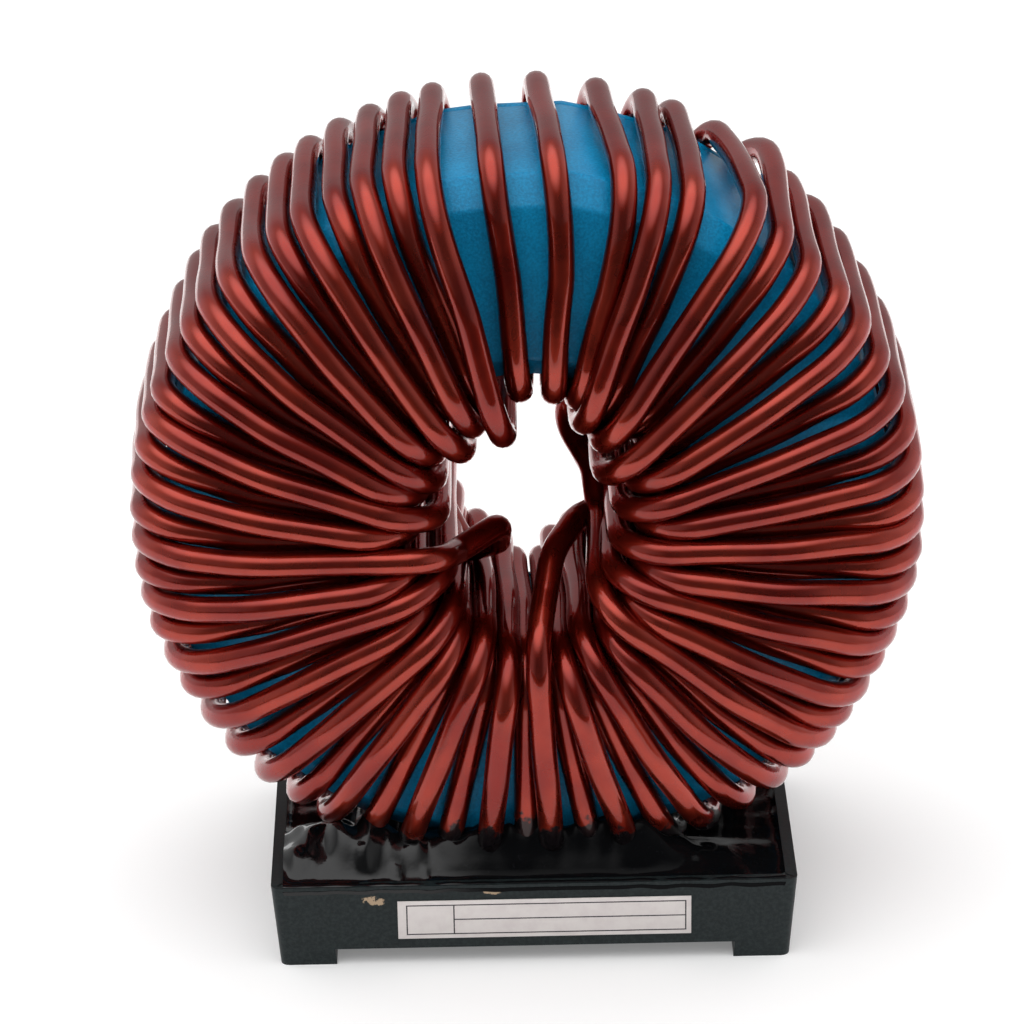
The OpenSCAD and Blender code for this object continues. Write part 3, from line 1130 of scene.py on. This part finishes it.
@dataclass
class Studio:
    """A pale floor, a dark card before it, a soft surround and the camera, in metres and degrees."""

    azimuth: float = 0.428
    elevation: float = 23.872
    distance: float = 0.40972
    roll: float = -0.943
    focal_px: float = 4990.5
    image_px: int = 1024
    target: Vector = field(default_factory=lambda: Vector((-0.0012077, -0.0017413, 0.03392)))
    floor_half: float = 0.45
    floor_colour: Colour = (0.86, 0.86, 0.86)
    floor_glow: float = 0.18
    floor_roughness: float = 0.9
    floor_specular: float = 0.1
    card_edge: float = -0.105
    card_lift: float = 0.0004
    card_colour: Colour = (0.03, 0.03, 0.03)
    fill_glow: float = 0.40
    front_glow: float = 0.11
    side_glow: float = 0.42
    back_glow: float = 0.40
    side_span: tuple[float, float] = (0.35, 0.95)
    back_span: tuple[float, float] = (-0.15, 0.55)
    top_glow: float = 1.75
    top_edge: float = 0.82
    top_soft: float = 0.16
    top_tilt: Vector = field(default_factory=lambda: Vector((-0.14, -0.15, 1.0)))

    def sheet(self, name: str, front: float, back: float, lift: float, shader: Shader) -> bpy.types.Object:
        """Lays a flat sheet on the floor's width.

        Args:
            name: Name of the sheet.
            front: Where it starts along Y.
            back: Where it ends along Y.
            lift: Its height.
            shader: Its finish.

        Returns:
            The new object.
        """
        shape = bmesh.new()
        left, right = -self.floor_half, self.floor_half
        corners = ((left, front), (right, front), (right, back), (left, back))
        shape.faces.new([shape.verts.new((x, y, lift)) for x, y in corners])
        mesh = bpy.data.meshes.new(name)
        shape.to_mesh(mesh)
        shape.free()
        mesh.materials.append(shader.material)
        piece = bpy.data.objects.new(name, mesh)
        bpy.context.scene.collection.objects.link(piece)
        return piece

    def matte(self, name: str, colour: Colour) -> Shader:
        """A dull finish of one colour."""
        shader = Shader(name)
        shader.set(
            Base_Color=colour, Roughness=self.floor_roughness, Specular_IOR_Level=self.floor_specular
        )
        return shader

    def floor(self) -> bpy.types.Object:
        """Makes the pale floor."""
        shader = self.matte("pale_floor", self.floor_colour)
        path = shader.tree.nodes.new("ShaderNodeLightPath").outputs
        seen = shader.math("MAXIMUM", path["Is Camera Ray"], path["Is Glossy Ray"])
        seen = shader.math("MAXIMUM", seen, path["Is Transmission Ray"])
        shader.set(
            Emission_Color=(1.0, 1.0, 1.0),
            Emission_Strength=shader.math("MULTIPLY", seen, self.floor_glow),
        )
        return self.sheet("floor", -self.floor_half, self.floor_half, 0.0, shader)

    def card(self) -> bpy.types.Object:
        """Lays a dark card on the floor before the picture, which the wire mirrors as dark bands."""
        shader = self.matte("dark_card", self.card_colour)
        piece = self.sheet("dark_card", -self.floor_half, self.card_edge, self.card_lift, shader)
        piece.visible_camera = False
        return piece

    def world(self) -> None:
        """Makes the soft surround: a bright ceiling, a paler back and sides, and a dim front.

        Matte surfaces get some even fill besides.
        """
        world = bpy.data.worlds.new("studio")
        world.use_nodes = True
        shader = Surround(world)
        toward = shader.direction()
        ceiling = shader.ramp(
            shader.facing(toward, self.top_tilt), self.top_edge - self.top_soft, self.top_edge + self.top_soft
        )
        back = shader.ramp(shader.facing(toward, Vector((0, 1, 0))), *self.back_span)
        sideways = shader.math("ABSOLUTE", shader.facing(toward, Vector((1, 0, 0))))
        aside = shader.ramp(sideways, *self.side_span)
        diffuse = shader.tree.nodes.new("ShaderNodeLightPath").outputs["Is Diffuse Ray"]
        glow: object = self.front_glow
        for share, strength in (
            (diffuse, self.fill_glow),
            (back, self.back_glow),
            (aside, self.side_glow),
            (ceiling, self.top_glow),
        ):
            glow = shader.math("ADD", glow, shader.math("MULTIPLY", share, strength))
        background = world.node_tree.nodes["Background"]
        shader.link(glow, background.inputs["Strength"])
        background.inputs["Color"].default_value = (1.0, 1.0, 1.0, 1.0)
        bpy.context.scene.world = world

    def camera(self) -> bpy.types.Object:
        """Stands the camera at the viewing angle."""
        az, el, roll = (math.radians(a) for a in (self.azimuth, self.elevation, self.roll))
        ahead = Vector((math.sin(az) * math.cos(el), math.cos(az) * math.cos(el), -math.sin(el)))
        level = Vector((math.cos(az), -math.sin(az), 0.0))
        upward = level.cross(ahead)
        right = level * math.cos(roll) + upward * math.sin(roll)
        up = upward * math.cos(roll) - level * math.sin(roll)
        lens = bpy.data.cameras.new("camera")
        lens.sensor_width = 36.0
        lens.lens = self.focal_px * lens.sensor_width / self.image_px
        lens.clip_start = 0.01
        holder = bpy.data.objects.new("camera", lens)
        bpy.context.scene.collection.objects.link(holder)
        turned = Matrix((right, up, -ahead)).transposed().to_4x4()
        holder.matrix_world = Matrix.Translation(self.target - ahead * self.distance) @ turned
        bpy.context.scene.camera = holder
        return holder

    def build(self) -> None:
        """Sets up the floor, the card, the light and the camera."""
        bpy.context.scene.view_settings.view_transform = "Standard"
        self.floor()
        self.card()
        self.world()
        self.camera()


def main() -> None:
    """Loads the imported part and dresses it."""
    logging.basicConfig(level=logging.INFO, format="%(name)s %(message)s")
    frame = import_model()
    Studio().build()

    ring_low, ring_high = node_box_mm("core_ring")
    axis_z = (ring_low.z + ring_high.z) / 2
    tray_low, tray_high = node_box_mm("base_tray")
    tray = Tray(width=tray_high.x - tray_low.x, depth=tray_high.y - tray_low.y, rim_z=tray_high.z)
    tray.build()
    case = CoreCase(axis_z=axis_z)
    case.build()
    Winding(axis_z=axis_z, case_half=case.half).build()
    fill_z = tray.rim_z - FILL_DROP
    inset = tray.wall + tray.lean(fill_z)
    Resin(
        half_x=tray.width / 2 - inset,
        half_y=tray.depth / 2 - inset,
        floor_z=tray.floor_z,
        fill_z=fill_z,
        rim_z=tray.rim_z,
        front=tray.depth / 2 + LAP_OVER,
    ).build()
    label_low, label_high = node_box_mm("label")
    Label(
        low=label_low,
        high=label_high,
        rim_z=tray.rim_z,
        tray_front=-tray.depth / 2,
        lean=tray.draft / tray.rim_z,
    ).build()

    core = frame["nodes"]["core_ring"]
    core.data.materials.clear()
    core.data.materials.append(PowderFinish().material())
    LOG.info("core_ring: packed node with its own finish")


if __name__ == "__main__":
    main()
